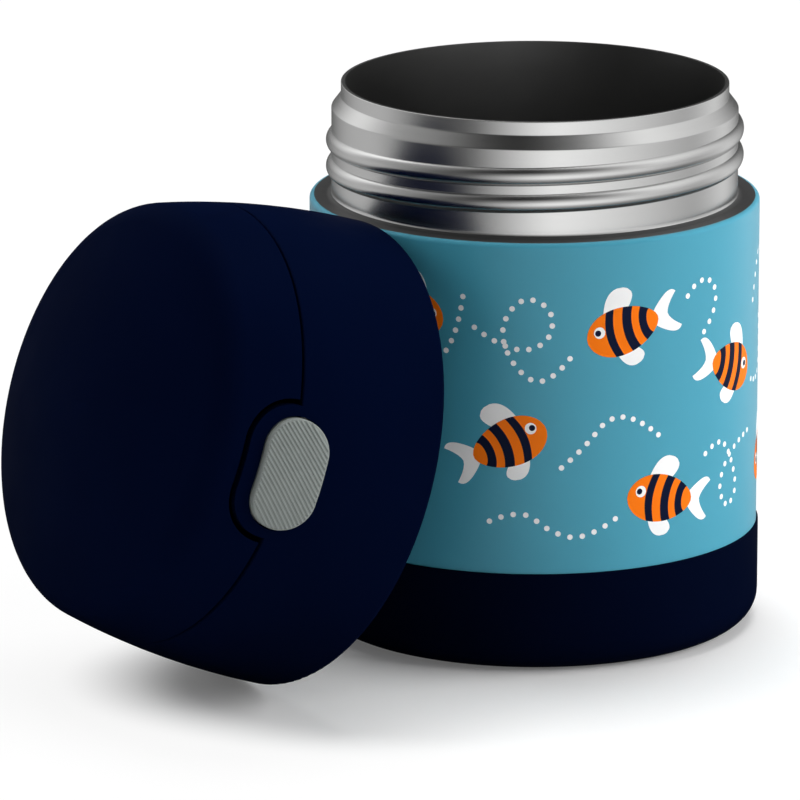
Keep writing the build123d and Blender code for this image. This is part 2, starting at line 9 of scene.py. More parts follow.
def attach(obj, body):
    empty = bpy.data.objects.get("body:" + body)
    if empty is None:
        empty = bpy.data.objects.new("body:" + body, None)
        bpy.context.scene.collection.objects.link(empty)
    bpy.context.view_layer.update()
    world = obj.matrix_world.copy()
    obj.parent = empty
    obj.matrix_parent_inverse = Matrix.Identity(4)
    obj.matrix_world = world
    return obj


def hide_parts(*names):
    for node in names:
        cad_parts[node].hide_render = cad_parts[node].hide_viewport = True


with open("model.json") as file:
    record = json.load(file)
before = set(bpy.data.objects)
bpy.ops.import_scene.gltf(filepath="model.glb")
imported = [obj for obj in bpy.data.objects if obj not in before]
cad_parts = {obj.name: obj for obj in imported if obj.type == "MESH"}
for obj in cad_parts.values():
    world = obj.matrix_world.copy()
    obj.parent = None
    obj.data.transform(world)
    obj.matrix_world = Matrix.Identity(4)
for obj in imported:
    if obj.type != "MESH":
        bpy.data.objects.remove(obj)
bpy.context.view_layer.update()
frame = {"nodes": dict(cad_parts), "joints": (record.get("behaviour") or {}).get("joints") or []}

# Looks of an insulated food jar: painted steel wall with a print, bare steel neck, navy
# boot, and a navy screw lid with a flip cover and a ribbed grey button, leaning on the jar.
# Metres throughout. The jar's axis is Z.

MM = 0.001

# ---- places in the frame ---------------------------------------------------------------------
WALL_RADIUS = 45.0 * MM
NECK_RADIUS = 40.6 * MM

SIDE_SWEEP = 174.0 * MM       # radius on which the lid's side bows in
RIM_RADIUS = 46.5 * MM
BUTTON_LEVEL = 30.6 * MM      # centre of the button above the lid's rim
BUTTON_LENGTH = 21.8 * MM
BUTTON_WIDTH = 12.6 * MM
BUTTON_PROUD = 1.0 * MM       # from the lid's side out to the button's face
HINGE_LEVEL = 31.3 * MM
HINGE_OUT = 1.9 * MM          # from the lid's side out to the middle of the hinge pin


def joint(name):
    for each in frame["joints"]:
        if each["name"] == name:
            return each
    raise KeyError(name)


def side_radius(level):
    """Radius of the lid's bowed side at a level above its rim."""
    return RIM_RADIUS - SIDE_SWEEP + sqrt(SIDE_SWEEP ** 2 - level ** 2)


def lid_matrix():
    """From the lid's own frame (X to the button, Z from rim to dome) to the shared one."""
    axis = Vector(joint("spoon_lift")["axis"]).normalized()
    front = -Vector(joint("button_press")["axis"]).normalized()
    across = axis.cross(front)
    hinge = Vector(joint("cover_hinge")["pos_m"])
    back = side_radius(HINGE_LEVEL) + HINGE_OUT
    rim = hinge + front * back - axis * HINGE_LEVEL
    turned = Matrix((front, across, axis)).transposed().to_4x4()
    return Matrix.Translation(rim) @ turned


LID = lid_matrix()


# ---- node trees ------------------------------------------------------------------------------
def add(tree, kind, links=None, **values):
    """Adds a node, sets its properties and sockets by name, and links sockets by name."""
    node = tree.nodes.new(kind)
    for key, value in values.items():
        if hasattr(node, key):
            setattr(node, key, value)
        else:
            node.inputs[key.replace("_", " ")].default_value = value
    for key, source in (links or {}).items():
        target = node.inputs[key] if isinstance(key, int) else node.inputs[key.replace("_", " ")]
        tree.links.new(source, target)
    return node


def feed(tree, socket, value):
    """Sets a socket to a number, or links another socket to it."""
    if isinstance(value, (int, float)):
        socket.default_value = value
    else:
        tree.links.new(value, socket)


def calc(tree, operation, a, b=None, clamp=False):
    """One step of arithmetic; a and b are sockets or numbers."""
    node = add(tree, "ShaderNodeMath", operation=operation, use_clamp=clamp)
    feed(tree, node.inputs[0], a)
    if b is not None:
        feed(tree, node.inputs[1], b)
    return node.outputs[0]


def point(tree, x, y, z):
    """Vector from three sockets or numbers."""
    node = add(tree, "ShaderNodeCombineXYZ")
    for socket, value in zip(node.inputs, (x, y, z)):
        feed(tree, socket, value)
    return node.outputs[0]


def length_of(tree, vector):
    node = add(tree, "ShaderNodeVectorMath", {0: vector}, operation="LENGTH")
    return node.outputs["Value"]


def ramp(tree, source, stops):
    """Colour ramp from (position, grey or colour) pairs."""
    node = tree.nodes.new("ShaderNodeValToRGB")
    elements = node.color_ramp.elements
    while len(elements) < len(stops):
        elements.new(0.5)
    for element, (position, colour) in zip(elements, stops):
        element.position = position
        rgb = (colour,) * 3 if isinstance(colour, (int, float)) else colour
        element.color = (*rgb, 1.0)
    tree.links.new(source, node.inputs["Fac"])
    return node.outputs["Color"]


NOISE_LOW, NOISE_HIGH = 0.3, 0.7        # a noise lies between these nearly everywhere


class Finish:
    """A material under construction: one Principled shader that reads Object coordinates."""

    def __init__(self, name, colour, roughness, metallic=0.0, **sockets):
        self.material = bpy.data.materials.new(name)
        self.material.use_nodes = True
        self.material.diffuse_color = (*colour, 1.0)
        self.tree = self.material.node_tree
        self.shader = self.tree.nodes["Principled BSDF"]
        self.shader.inputs["Base Color"].default_value = (*colour, 1.0)
        self.shader.inputs["Roughness"].default_value = roughness
        self.shader.inputs["Metallic"].default_value = metallic
        for key, value in sockets.items():
            self.shader.inputs[key.replace("_", " ")].default_value = value
        self.colour = colour
        self.roughness = roughness
        self.place = add(self.tree, "ShaderNodeTexCoord").outputs["Object"]

    def noise(self, scale, detail=3.0):
        node = add(self.tree, "ShaderNodeTexNoise", {"Vector": self.place},
                   Scale=scale, Detail=detail)
        return node.outputs["Fac"]

    def round_the_axis(self, along, across):
        """Coordinates that run long round the Z axis and short along it, for brush lines."""
        split = add(self.tree, "ShaderNodeSeparateXYZ", {"Vector": self.place}).outputs
        far = calc(self.tree, "SQRT", calc(self.tree, "ADD",
                   calc(self.tree, "MULTIPLY", split[0], split[0]),
                   calc(self.tree, "MULTIPLY", split[1], split[1])))
        # Direction as two smooth numbers, so that there is no seam behind the jar.
        return add(self.tree, "ShaderNodeCombineXYZ", {
            "X": calc(self.tree, "MULTIPLY", calc(self.tree, "DIVIDE", split[0], far), along),
            "Y": calc(self.tree, "MULTIPLY", calc(self.tree, "DIVIDE", split[1], far), along),
            "Z": calc(self.tree, "MULTIPLY", calc(self.tree, "ADD", split[2], far), across),
        }).outputs[0]

    def vary_colour(self, source, low, high):
        """The base colour, between low and high times itself."""
        dark = tuple(c * low for c in self.colour)
        light = tuple(c * high for c in self.colour)
        colour = ramp(self.tree, source, [(NOISE_LOW, dark), (NOISE_HIGH, light)])
        self.tree.links.new(colour, self.shader.inputs["Base Color"])

    def vary_roughness(self, source, spread):
        """The roughness, up to spread below and above its own value."""
        node = add(self.tree, "ShaderNodeMapRange", {"Value": source},
                   From_Min=NOISE_LOW, From_Max=NOISE_HIGH,
                   To_Min=self.roughness - spread, To_Max=self.roughness + spread)
        self.tree.links.new(node.outputs[0], self.shader.inputs["Roughness"])

    def bump(self, source, strength, distance):
        """Fine relief, on top of any that is there already."""
        before = self.shader.inputs["Normal"].links
        sockets = {"Height": source}
        if before:
            sockets["Normal"] = before[0].from_socket
        node = add(self.tree, "ShaderNodeBump", sockets, Strength=strength, Distance=distance)
        self.tree.links.new(node.outputs[0], self.shader.inputs["Normal"])


# ---- finishes --------------------------------------------------------------------------------
def teal_paint():
    paint = Finish("teal_paint", (0.064, 0.345, 0.475), 0.4, Specular_IOR_Level=0.25,
                   Coat_Weight=0.1, Coat_Roughness=0.3, Sheen_Weight=0.22,
                   Sheen_Roughness=0.35)
    paint.vary_colour(paint.noise(22.0), 0.975, 1.025)
    paint.vary_roughness(paint.noise(60.0), 0.03)
    paint.bump(paint.noise(900.0, detail=1.0), 0.06, 0.00004)
    return paint.material


def brushed_steel():
    """Turned and finely brushed: faint lines round the axis, highlights drawn out along it."""
    steel = Finish("brushed_steel", (0.62, 0.62, 0.615), 0.26, metallic=1.0, Anisotropic=0.35)
    lines = add(steel.tree, "ShaderNodeTexNoise",
                {"Vector": steel.round_the_axis(3.0, 5200.0)}, Scale=1.0, Detail=4.0)
    steel.vary_colour(lines.outputs["Fac"], 0.985, 1.01)
    steel.vary_roughness(lines.outputs["Fac"], 0.012)
    steel.bump(lines.outputs["Fac"], 0.01, 0.00001)
    tangent = add(steel.tree, "ShaderNodeTangent", direction_type="RADIAL", axis="Z")
    steel.tree.links.new(tangent.outputs[0], steel.shader.inputs["Tangent"])
    return steel.material


def blasted_steel(name, colour, roughness, metallic=1.0):
    """Even fine grain without lines."""
    steel = Finish(name, colour, roughness, metallic=metallic)
    steel.vary_colour(steel.noise(160.0), 0.985, 1.015)
    steel.vary_roughness(steel.noise(400.0), 0.015)
    steel.bump(steel.noise(3500.0), 0.06, 0.00001)
    return steel.material


def polished_steel():
    steel = Finish("polished_steel", (0.68, 0.68, 0.675), 0.16, metallic=1.0)
    steel.vary_roughness(steel.noise(90.0), 0.04)
    steel.bump(steel.noise(2200.0), 0.05, 0.00001)
    return steel.material


def bright_foil():
    foil = Finish("bright_foil", (0.8, 0.8, 0.81), 0.12, metallic=1.0)
    foil.vary_roughness(foil.noise(140.0), 0.05)
    foil.bump(foil.noise(180.0, detail=5.0), 0.5, 0.0003)
    return foil.material


def sintered_metal():
    metal = Finish("sintered_metal", (0.16, 0.15, 0.15), 0.7, metallic=0.8)
    metal.vary_colour(metal.noise(1500.0), 0.7, 1.3)
    metal.bump(metal.noise(3000.0, detail=5.0), 0.6, 0.0001)
    return metal.material


def navy_moulding(name, colour, roughness, grain):
    """Dark moulded plastic with a fine spark-eroded grain."""
    plastic = Finish(name, colour, roughness, Specular_IOR_Level=0.004,
                     Specular_Tint=(0.4, 0.6, 1.0, 1.0))
    plastic.vary_colour(plastic.noise(35.0), 0.93, 1.07)
    plastic.vary_roughness(plastic.noise(120.0), 0.035)
    plastic.bump(plastic.noise(grain, detail=2.0), 0.12, 0.00003)
    return plastic.material


def grey_moulding():
    plastic = Finish("grey_moulding", (0.235, 0.26, 0.25), 0.42, Specular_IOR_Level=0.4)
    plastic.vary_colour(plastic.noise(150.0), 0.95, 1.05)
    plastic.vary_roughness(plastic.noise(300.0), 0.04)
    plastic.bump(plastic.noise(4200.0, detail=2.0), 0.15, 0.00003)
    return plastic.material


def clear_silicone():
    rubber = Finish("clear_silicone", (0.72, 0.74, 0.76), 0.5, Subsurface_Weight=0.3,
                    Subsurface_Radius=(0.002, 0.002, 0.0022))
    rubber.vary_colour(rubber.noise(200.0), 0.96, 1.03)
    rubber.bump(rubber.noise(2500.0), 0.1, 0.00003)
    return rubber.material


def rigid_foam():
    foam = Finish("rigid_foam", (0.8, 0.76, 0.66), 0.9)
    cells = add(foam.tree, "ShaderNodeTexVoronoi", {"Vector": foam.place}, Scale=1600.0)
    foam.vary_colour(cells.outputs["Distance"], 0.9, 1.05)
    foam.bump(cells.outputs["Distance"], 0.6, 0.0002)
    return foam.material


def printing_ink(name, colour):
    ink = Finish(name, colour, 0.45, Specular_IOR_Level=0.08)
    ink.vary_colour(ink.noise(60.0), 0.98, 1.02)
    ink.bump(ink.noise(900.0, detail=1.0), 0.05, 0.00003)
    return ink.material


TEAL_PAINT = teal_paint()
BRUSHED_STEEL = brushed_steel()
# Bare steel of the ledge, made near-black and not metallic: painted shade in the recess round the
# neck's foot.
LEDGE_PAINTED_SHADE = blasted_steel("ledge_painted_shade", (0.04, 0.04, 0.04), 0.5, metallic=0.0)
# Liner steel, darker than the other steel: painted shade inside the jar.
LINER_STEEL_PAINTED_SHADE = blasted_steel("liner_steel_painted_shade", (0.3, 0.3, 0.298), 0.36)
HIDDEN_STEEL = blasted_steel("hidden_steel", (0.52, 0.52, 0.51), 0.3)
POLISHED_STEEL = polished_steel()
BRIGHT_FOIL = bright_foil()
SINTERED_METAL = sintered_metal()
NAVY_BOOT = navy_moulding("navy_boot", (0.0008, 0.0024, 0.0120), 0.5, 3600.0)
NAVY_LID = navy_moulding("navy_lid", (0.0006, 0.0026, 0.0150), 0.55, 3200.0)
NAVY_INNER = navy_moulding("navy_inner", (0.0015, 0.004, 0.019), 0.5, 2400.0)
GREY_BUTTON = grey_moulding()
CLEAR_SILICONE = clear_silicone()
RIGID_FOAM = rigid_foam()
INK_ORANGE = printing_ink("ink_orange", (1.0, 0.2, 0.004))
INK_NAVY = printing_ink("ink_navy", (0.003, 0.007, 0.03))
INK_WHITE = printing_ink("ink_white", (0.97, 0.97, 0.97))

NODE_FINISH = {
    "jar_outer_shell": TEAL_PAINT,
    "jar_inner_liner": LINER_STEEL_PAINTED_SHADE,
    "jar_bottom_plate": HIDDEN_STEEL,
    "jar_vacuum_seal": HIDDEN_STEEL,
    "jar_getter_tray": HIDDEN_STEEL,
    "jar_getter": SINTERED_METAL,
    "jar_heat_shield": BRIGHT_FOIL,
    "jar_boot": NAVY_BOOT,
    "lid_shell": NAVY_LID,
    "lid_thread_ring": NAVY_INNER,
    "lid_plug": NAVY_INNER,
    "lid_gasket": CLEAR_SILICONE,
    "lid_insulation": RIGID_FOAM,
    "lid_deck": NAVY_INNER,
    "lid_hinge_pin": POLISHED_STEEL,
    "button_spring_left": POLISHED_STEEL,
    "button_spring_right": POLISHED_STEEL,
    "button_cap": GREY_BUTTON,
    "button_latch": NAVY_INNER,
    "cover_shell": NAVY_LID,
    "cover_liner": NAVY_INNER,
    "cover_catch": NAVY_INNER,
    "spoon_bowl": POLISHED_STEEL,
    "spoon_handle": POLISHED_STEEL,
    "spoon_pin": POLISHED_STEEL,
}


def finish_the_nodes():
    for name, material in NODE_FINISH.items():
        mesh = frame["nodes"][name].data
        mesh.materials.clear()
        mesh.materials.append(material)


# ---- turning a tree into a finished piece ----------------------------------------------------
def new_tree(name, inputs):
    """Geometry tree with named inputs; returns the tree, its input node and its sockets' ids."""
    tree = bpy.data.node_groups.new(name, "GeometryNodeTree")
    tree.interface.new_socket("Geometry", in_out="OUTPUT", socket_type="NodeSocketGeometry")
    tree.interface.new_socket("Geometry", in_out="INPUT", socket_type="NodeSocketGeometry")
    ids = {}
    for key, (kind, value) in inputs.items():
        made = tree.interface.new_socket(key, in_out="INPUT", socket_type=kind)
        made.default_value = value
        ids[key] = made.identifier
    return tree, tree.nodes.new("NodeGroupInput"), ids


def finish_tree(tree, geometry, material):
    """Ends a tree in Realize Instances and Set Material."""
    real = add(tree, "GeometryNodeRealizeInstances", {"Geometry": geometry})
    coated = add(tree, "GeometryNodeSetMaterial", {"Geometry": real.outputs[0]})
    coated.inputs["Material"].default_value = material
    out = tree.nodes.new("NodeGroupOutput")
    tree.links.new(coated.outputs[0], out.inputs["Geometry"])


def linked(name, data):
    """New object at the origin that holds a mesh, lamp or camera."""
    piece = bpy.data.objects.new(name, data)
    bpy.context.scene.collection.objects.link(piece)
    return piece


def mesh_of(name, shape, *materials):
    """Plain mesh from a bmesh, which is freed."""
    mesh = bpy.data.meshes.new(name)
    shape.to_mesh(mesh)
    shape.free()
    for material in materials:
        mesh.materials.append(material)
    return mesh


def bake(name, base, tree, values, ids, body, place=Matrix()):
    """Runs a tree on base and leaves a plain mesh, put in its place, that rides on a body."""
    bpy.context.scene.collection.objects.link(base)
    modifier = base.modifiers.new("tree", "NODES")
    modifier.node_group = tree
    for key, value in values.items():
        modifier[ids[key]] = value
    bpy.context.view_layer.update()
    evaluated = base.evaluated_get(bpy.context.evaluated_depsgraph_get())
    mesh = bpy.data.meshes.new_from_object(evaluated)
    mesh.name = name
    mesh.transform(place)
    bpy.data.objects.remove(base)
    piece = linked(name, mesh)
    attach(piece, body)
    return piece


# ---- steel wall and its thread ---------------------------------------------------------------
# Corners of the wall's section, in mm: (out from the axis, level, round).
WALL_SECTION = [
    (43.2, 2.65, 0.0), (43.6, 2.65, 0.0), (43.6, 20.45, 0.0), (45.0, 20.45, 0.0),
    (45.0, 87.0, 0.9), (40.6, 87.0, 1.1), (40.6, 104.7, 0.5), (38.7, 107.2, 0.5),
    (38.7, 109.9, 0.15), (38.3, 109.9, 0.0), (38.3, 106.8, 0.0), (40.2, 104.5, 0.0),
    (40.2, 86.6, 0.0), (44.6, 86.6, 0.5), (44.6, 20.85, 0.0), (43.2, 20.85, 0.0),
]
WALL_FINISHES = (TEAL_PAINT, LEDGE_PAINTED_SHADE, BRUSHED_STEEL)
WALL_COLUMNS = 288
SHARP_EDGE = 35.0             # degrees between faces that meet in a sharp edge
# Borders of the finishes, in mm.
PAINT_EDGE = 44.2             # out; the paint stops on the round of the shoulder
BOOT_LINE = 20.6              # level; the wall below it stands in the boot
LEDGE_INSIDE = 40.76          # out; the ledge's painted shade starts on the neck's foot
LEDGE_UNDER, LEDGE_OVER = 86.7, 90.0


def rounded(corners, steps=6, support=0.15):
    """Closed outline through corners with their rounds, and a point close by each round."""
    outline = []
    for i, (out, level, fillet) in enumerate(corners):
        corner = Vector((out, level, 0.0))
        if not fillet:
            outline.append(corner)
            continue
        ways = [(Vector((*other[:2], 0.0)) - corner).normalized()
                for other in (corners[i - 1], corners[(i + 1) % len(corners)])]
        half = ways[0].angle(ways[1]) / 2
        reach = fillet / tan(half)
        centre = corner + (ways[0] + ways[1]).normalized() * fillet / sin(half)
        start, end = ((corner + way * reach - centre).normalized() for way in ways)
        outline.append(corner + ways[0] * (reach + support))
        outline += [centre + start.slerp(end, step / steps) * fillet for step in range(steps + 1)]
        outline.append(corner + ways[1] * (reach + support))
    return outline


def wall_finish(place):
    """Finish of the wall at a place on its section."""
    if place.x > PAINT_EDGE or place.y < BOOT_LINE:
        return TEAL_PAINT
    # Ledge and lower foot of the neck: near-black painted shade in place of bare steel.
    if LEDGE_UNDER < place.y < LEDGE_OVER and place.x > LEDGE_INSIDE:
        return LEDGE_PAINTED_SHADE
    return BRUSHED_STEEL


def steel_wall():
    """Painted wall with its bare ledge, neck and lip, as one closed turned sheet."""
    outline = rounded(WALL_SECTION)
    following = outline[1:] + outline[:1]
    slots = [WALL_FINISHES.index(wall_finish((at + after) / 2))
             for at, after in zip(outline, following)]
    shape = bmesh.new()
    rings = []
    for column in range(WALL_COLUMNS):
        turn = radians(360.0 * column / WALL_COLUMNS)
        rings.append([shape.verts.new((at.x * cos(turn) * MM, at.x * sin(turn) * MM, at.y * MM))
                      for at in outline])
    for ring, after in zip(rings, rings[1:] + rings[:1]):
        for i, slot in enumerate(slots):
            j = (i + 1) % len(outline)
            face = shape.faces.new((ring[i], after[i], after[j], ring[j]))
            face.smooth = True
            face.material_index = slot
    bmesh.ops.recalc_face_normals(shape, faces=shape.faces)
    for edge in shape.edges:
        edge.smooth = edge.calc_face_angle(0.0) < radians(SHARP_EDGE)
    piece = linked("steel_wall", mesh_of("steel_wall", shape, *WALL_FINISHES))
    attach(piece, "jar")
    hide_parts("jar_outer_shell")


def thread_tree():
    """Round-faced section swept along a helix, faded out over a short run at both ends."""
    tree, given, ids = new_tree("neck_thread", {
        "Pitch": ("NodeSocketFloat", 5.35 * MM),
        "Turns": ("NodeSocketFloat", 1.875),
        "Start Turn": ("NodeSocketFloat", 0.375),
        "Start Level": ("NodeSocketFloat", 92.05 * MM),
        "Base Radius": ("NodeSocketFloat", NECK_RADIUS - 0.3 * MM),
        "Section Radius": ("NodeSocketFloat", 2.1 * MM),
        "Section Sunk": ("NodeSocketFloat", 0.7 * MM),
        "Run Out": ("NodeSocketFloat", 1.85 * MM),
    })
    value = given.outputs
    points = 960
    crowding = 0.8            # how much closer together the points stand at the ends
    thinnest = 0.03           # share of the section that is left at the very ends
    line = add(tree, "GeometryNodeCurvePrimitiveLine", End=(1.0, 0.0, 0.0))
    line = add(tree, "GeometryNodeResampleCurve", {"Curve": line.outputs[0]}, Count=points)
    number = add(tree, "GeometryNodeInputIndex").outputs[0]
    step = calc(tree, "DIVIDE", number, points - 1.0)
    # The ridge fades at its ends, and needs more points there.
    crowd = calc(tree, "SINE", calc(tree, "MULTIPLY", step, 2.0 * pi))
    share = calc(tree, "SUBTRACT", step, calc(tree, "MULTIPLY", crowd, crowding / (2.0 * pi)))
    run = calc(tree, "DIVIDE", value["Run Out"],
               calc(tree, "MULTIPLY", value["Base Radius"], 2.0 * pi))
    length = calc(tree, "ADD", value["Turns"], calc(tree, "MULTIPLY", run, 2.0))
    turn = calc(tree, "SUBTRACT", calc(tree, "MULTIPLY", share, length), run)
    angle = calc(tree, "MULTIPLY", calc(tree, "ADD", turn, value["Start Turn"]), 2.0 * pi)
    place = point(tree,
                  calc(tree, "MULTIPLY", calc(tree, "COSINE", angle), value["Base Radius"]),
                  calc(tree, "MULTIPLY", calc(tree, "SINE", angle), value["Base Radius"]),
                  calc(tree, "ADD", calc(tree, "MULTIPLY", turn, value["Pitch"]),
                       value["Start Level"]))
    helix = add(tree, "GeometryNodeSetPosition", {"Geometry": line.outputs[0], "Position": place})
    helix = add(tree, "GeometryNodeSetCurveNormal", {"Curve": helix.outputs[0]}, mode="Z_UP")
    to_end = calc(tree, "MINIMUM", share, calc(tree, "SUBTRACT", 1.0, share))
    faded = calc(tree, "SUBTRACT", 1.0, calc(tree, "MINIMUM", 1.0, calc(
        tree, "DIVIDE", calc(tree, "MULTIPLY", to_end, length), run)))
    height = calc(tree, "SQRT", calc(tree, "SUBTRACT", 1.0, calc(tree, "MULTIPLY", faded, faded)))
    half = calc(tree, "ARCCOSINE", calc(tree, "DIVIDE", value["Section Sunk"],
                                        value["Section Radius"]))
    section = add(tree, "GeometryNodeCurveArc", {
        "Radius": value["Section Radius"],
        "Start Angle": calc(tree, "MULTIPLY", half, -1.0),
        "Sweep Angle": calc(tree, "MULTIPLY", half, 2.0)}, mode="RADIUS", Resolution=24)
    section = add(tree, "GeometryNodeTransform", {
        "Geometry": section.outputs[0],
        "Translation": point(tree, calc(tree, "MULTIPLY", value["Section Sunk"], -1.0), 0.0, 0.0)})
    section = add(tree, "GeometryNodeSetSplineCyclic", {"Geometry": section.outputs[0]},
                  Cyclic=True)
    ridge = add(tree, "GeometryNodeCurveToMesh", {
        "Curve": helix.outputs[0], "Profile Curve": section.outputs[0],
        "Scale": calc(tree, "MAXIMUM", height, thinnest)}, Fill_Caps=True)
    finish_tree(tree, ridge.outputs[0], BRUSHED_STEEL)
    return tree, ids


def neck_thread():
    tree, ids = thread_tree()
    base = bpy.data.objects.new("neck_thread", bpy.data.meshes.new("neck_thread"))
    piece = bake("neck_thread", base, tree, {}, ids, "jar")
    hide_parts("jar_outer_shell")


# ---- ribs of the button ----------------------------------------------------------------------
RIB_PITCH = 0.77 * MM
RIB_BORDER = 0.3 * MM         # plain rim of the button outside the ribs
RIB_SUNK = 0.4                # in rib radii


def rib_tree():
    """Slanting ribs clipped to an oval and laid on the lid's bowed side."""
    tree, given, ids = new_tree("button_ribs", {
        "Ribs": ("NodeSocketInt", 40),
        "Pitch": ("NodeSocketFloat", RIB_PITCH),
        "Straight": ("NodeSocketFloat", 4.6 * MM),
        "Round": ("NodeSocketFloat", 5.7 * MM),
        "Rib Radius": ("NodeSocketFloat", 0.3 * MM),
        "Level": ("NodeSocketFloat", BUTTON_LEVEL),
        "Rim Radius": ("NodeSocketFloat", RIM_RADIUS),
        "Sweep": ("NodeSocketFloat", SIDE_SWEEP),
        "Proud": ("NodeSocketFloat", BUTTON_PROUD),
    })
    value = given.outputs
    slant = sqrt(0.5)
    # Each rib is a line at 45 degrees; offset is its distance from the oval's middle.
    number = add(tree, "GeometryNodeInputIndex").outputs[0]
    half = calc(tree, "MULTIPLY", calc(tree, "SUBTRACT", value["Ribs"], 1.0), 0.5)
    offset = calc(tree, "MULTIPLY", calc(tree, "SUBTRACT", number, half), value["Pitch"])
    back = calc(tree, "MULTIPLY", value["Straight"], -1.0)
    round_square = calc(tree, "POWER", value["Round"], 2.0)
    ends = []
    for side in (-1.0, 1.0):
        # Middle of the oval's end circle that the line leaves through.
        middle = calc(tree, "ADD", calc(tree, "DIVIDE", offset, slant),
                      calc(tree, "MULTIPLY", value["Round"], side))
        middle = calc(tree, "MAXIMUM", calc(tree, "MINIMUM", middle, value["Straight"]), back)
        along = calc(tree, "MULTIPLY", middle, slant)
        aside = calc(tree, "ABSOLUTE", calc(tree, "SUBTRACT", offset, along))
        room = calc(tree, "SUBTRACT", round_square, calc(tree, "POWER", aside, 2.0))
        room = calc(tree, "SQRT", calc(tree, "MAXIMUM", room, 0.0))
        ends.append(calc(tree, "ADD", along, calc(tree, "MULTIPLY", room, side)))
    start = point(tree, 0.0,
                  calc(tree, "MULTIPLY", calc(tree, "ADD", ends[0], offset), slant),
                  calc(tree, "MULTIPLY", calc(tree, "SUBTRACT", ends[0], offset), slant))
    length = calc(tree, "SUBTRACT", ends[1], ends[0])
    starts = add(tree, "GeometryNodePoints", {"Count": value["Ribs"], "Position": start})
    line = add(tree, "GeometryNodeCurvePrimitiveLine", Start=(0.0, 0.0, 0.0),
               End=(0.0, slant, slant))
    line = add(tree, "GeometryNodeResampleCurve", {"Curve": line.outputs[0]}, Count=16)
    lines = add(tree, "GeometryNodeInstanceOnPoints", {
        "Points": starts.outputs[0], "Instance": line.outputs[0],
        "Scale": point(tree, length, length, length)})
    lines = add(tree, "GeometryNodeRealizeInstances", {"Geometry": lines.outputs[0]})
    flat = add(tree, "ShaderNodeSeparateXYZ",
               {"Vector": add(tree, "GeometryNodeInputPosition").outputs[0]}).outputs
    level = calc(tree, "ADD", flat[2], value["Level"])
    bow = calc(tree, "SUBTRACT",
               calc(tree, "POWER", calc(tree, "ADD", value["Sweep"], value["Proud"]), 2.0),
               calc(tree, "POWER", level, 2.0))
    radius = calc(tree, "ADD", calc(tree, "SUBTRACT", value["Rim Radius"], value["Sweep"]),
                  calc(tree, "SQRT", bow))
    # The ribs' centre lines lie a little under the face, so that less than half stands out.
    sunk = calc(tree, "MULTIPLY", value["Rib Radius"], RIB_SUNK)
    radius = calc(tree, "SUBTRACT", radius, sunk)
    out = calc(tree, "SQRT", calc(tree, "SUBTRACT", calc(tree, "POWER", radius, 2.0),
                                  calc(tree, "MULTIPLY", flat[1], flat[1])))
    laid = add(tree, "GeometryNodeSetPosition", {
        "Geometry": lines.outputs[0], "Position": point(tree, out, flat[1], level)})
    section = add(tree, "GeometryNodeCurvePrimitiveCircle",
                  {"Radius": value["Rib Radius"]}, Resolution=8)
    ribs = add(tree, "GeometryNodeCurveToMesh", {
        "Curve": laid.outputs[0], "Profile Curve": section.outputs[0]}, Fill_Caps=True)
    finish_tree(tree, ribs.outputs[0], GREY_BUTTON)
    return tree, ids


def button_ribs():
    tree, ids = rib_tree()
    straight = (BUTTON_LENGTH - BUTTON_WIDTH) / 2
    end_round = BUTTON_WIDTH / 2 - RIB_BORDER
    # The outermost ribs lie within this share of the end's round, so that none is a mere dot.
    reach = 0.96
    ribs = 2 * int((straight * sqrt(0.5) + end_round * reach) / RIB_PITCH) + 1
    base = bpy.data.objects.new("button_ribs", bpy.data.meshes.new("button_ribs"))
    bake("button_ribs", base, tree,
         {"Ribs": ribs, "Pitch": RIB_PITCH, "Straight": straight, "Round": end_round},
         ids, "button", LID)


# ---- print on the wall -----------------------------------------------------------------------
# The print is drawn flat, in millimetres along the wall and up, and then wrapped on it.
INK_SINK = -0.02              # underside of the ink, just inside the paint
FIN_TOP, BODY_TOP, BAND_TOP, EYE_TOP, PUPIL_TOP = 0.03, 0.045, 0.06, 0.075, 0.09
FISH_SCALE = 1.22
BODY_LENGTH = 6.4             # half of a fish's body, before the scale
BODY_HEIGHT = 3.9
BODY_BLUNTNESS = 0.55         # power of the body's outline; 0.5 is an ellipse
HEAD_FULLNESS = 0.16          # share by which the head's end is higher than the middle

# Azimuth 0 is the front and 90 the right.
# (azimuth in degrees, level in mm, turn in degrees, swims right 1 or left -1)
FISH = [
    (22.0, 69.0, 14.0, -1),
    (60.0, 57.0, -18.0, 1),
    (-7.0, 47.0, 24.0, 1),
    (33.0, 34.0, -10.0, -1),
    (88.0, 34.5, 20.0, -1),
    (-34.0, 72.0, -12.0, 1),
    (104.0, 70.0, 8.0, 1),
    (128.0, 45.0, -16.0, -1),
    (153.0, 69.0, 18.0, 1),
    (176.0, 37.0, -8.0, 1),
    (200.0, 63.0, 12.0, -1),
    (228.0, 40.0, -22.0, 1),
    (252.0, 68.0, 10.0, -1),
    (284.0, 45.0, 16.0, 1),
    (306.0, 70.0, -14.0, 1),
    (-45.0, 36.0, 12.0, -1),
]

